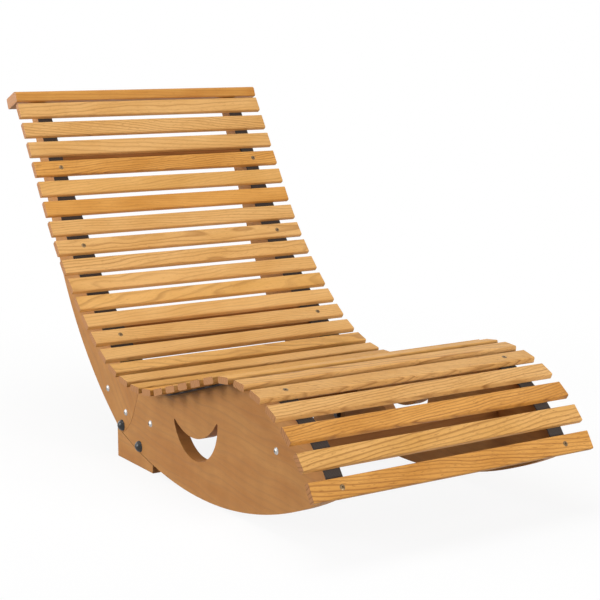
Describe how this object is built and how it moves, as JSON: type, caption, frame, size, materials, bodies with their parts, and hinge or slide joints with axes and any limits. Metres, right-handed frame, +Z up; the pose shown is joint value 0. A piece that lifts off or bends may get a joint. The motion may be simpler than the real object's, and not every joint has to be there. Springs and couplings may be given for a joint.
{
  "type": "outdoor rocking chair",
  "caption": "Slatted wooden rocking lounger: an S-shaped slat seat on two straps and two curved side frames with a round rocker edge and a rear stop block.",
  "frame": {"origin": "on the floor, under the middle of the chair's bounding box", "axes": "+X to the sitter's left along the slats, +Y towards the head, +Z up; the feet point to -Y"},
  "size_m": [0.6, 1.224, 0.7297],
  "materials": {
    "slat_wood": "oiled, golden grain",
    "bar_wood": "oiled, golden grain",
    "panel_wood": "oiled, smooth tan brown",
    "rail_wood": "oiled, smooth tan brown",
    "dowel_wood": "bare",
    "strap_webbing": "woven dark slate webbing",
    "bronze_screw": "bronze coated",
    "zinc_steel": "zinc plated",
    "cap_plastic": "glossy black"
  },
  "bodies": {
    "root": {"head_bar": "bar_wood", "slat_01": "slat_wood", "slat_02": "slat_wood", "slat_03": "slat_wood", "slat_04": "slat_wood", "slat_05": "slat_wood", "slat_06": "slat_wood", "slat_07": "slat_wood", "slat_08": "slat_wood", "slat_09": "slat_wood", "slat_10": "slat_wood", "slat_11": "slat_wood", "slat_12": "slat_wood", "slat_13": "slat_wood", "slat_14": "slat_wood", "slat_15": "slat_wood", "slat_16": "slat_wood", "slat_17": "slat_wood", "slat_18": "slat_wood", "slat_19": "slat_wood", "slat_20": "slat_wood", "slat_21": "slat_wood", "slat_22": "slat_wood", "slat_23": "slat_wood", "slat_24": "slat_wood", "slat_25": "slat_wood", "slat_26": "slat_wood", "slat_27": "slat_wood", "slat_28": "slat_wood", "slat_29": "slat_wood", "slat_30": "slat_wood", "left_strap": "strap_webbing", "right_strap": "strap_webbing", "left_back_panel": "panel_wood", "left_rocker_panel": "panel_wood", "left_stop_block": "panel_wood", "right_back_panel": "panel_wood", "right_rocker_panel": "panel_wood", "right_stop_block": "panel_wood", "upper_back_rail": "rail_wood", "lower_back_rail": "rail_wood", "rear_rail": "rail_wood", "seam_board": "rail_wood", "front_rail": "rail_wood", "slat_screws": "bronze_screw", "rail_screws": "zinc_steel", "joint_bolts": "zinc_steel", "joint_washers": "zinc_steel", "joint_nuts": "zinc_steel", "bolt_caps": "cap_plastic", "rail_dowels": "dowel_wood", "head_dowels": "dowel_wood"}
  },
  "joints": []
}
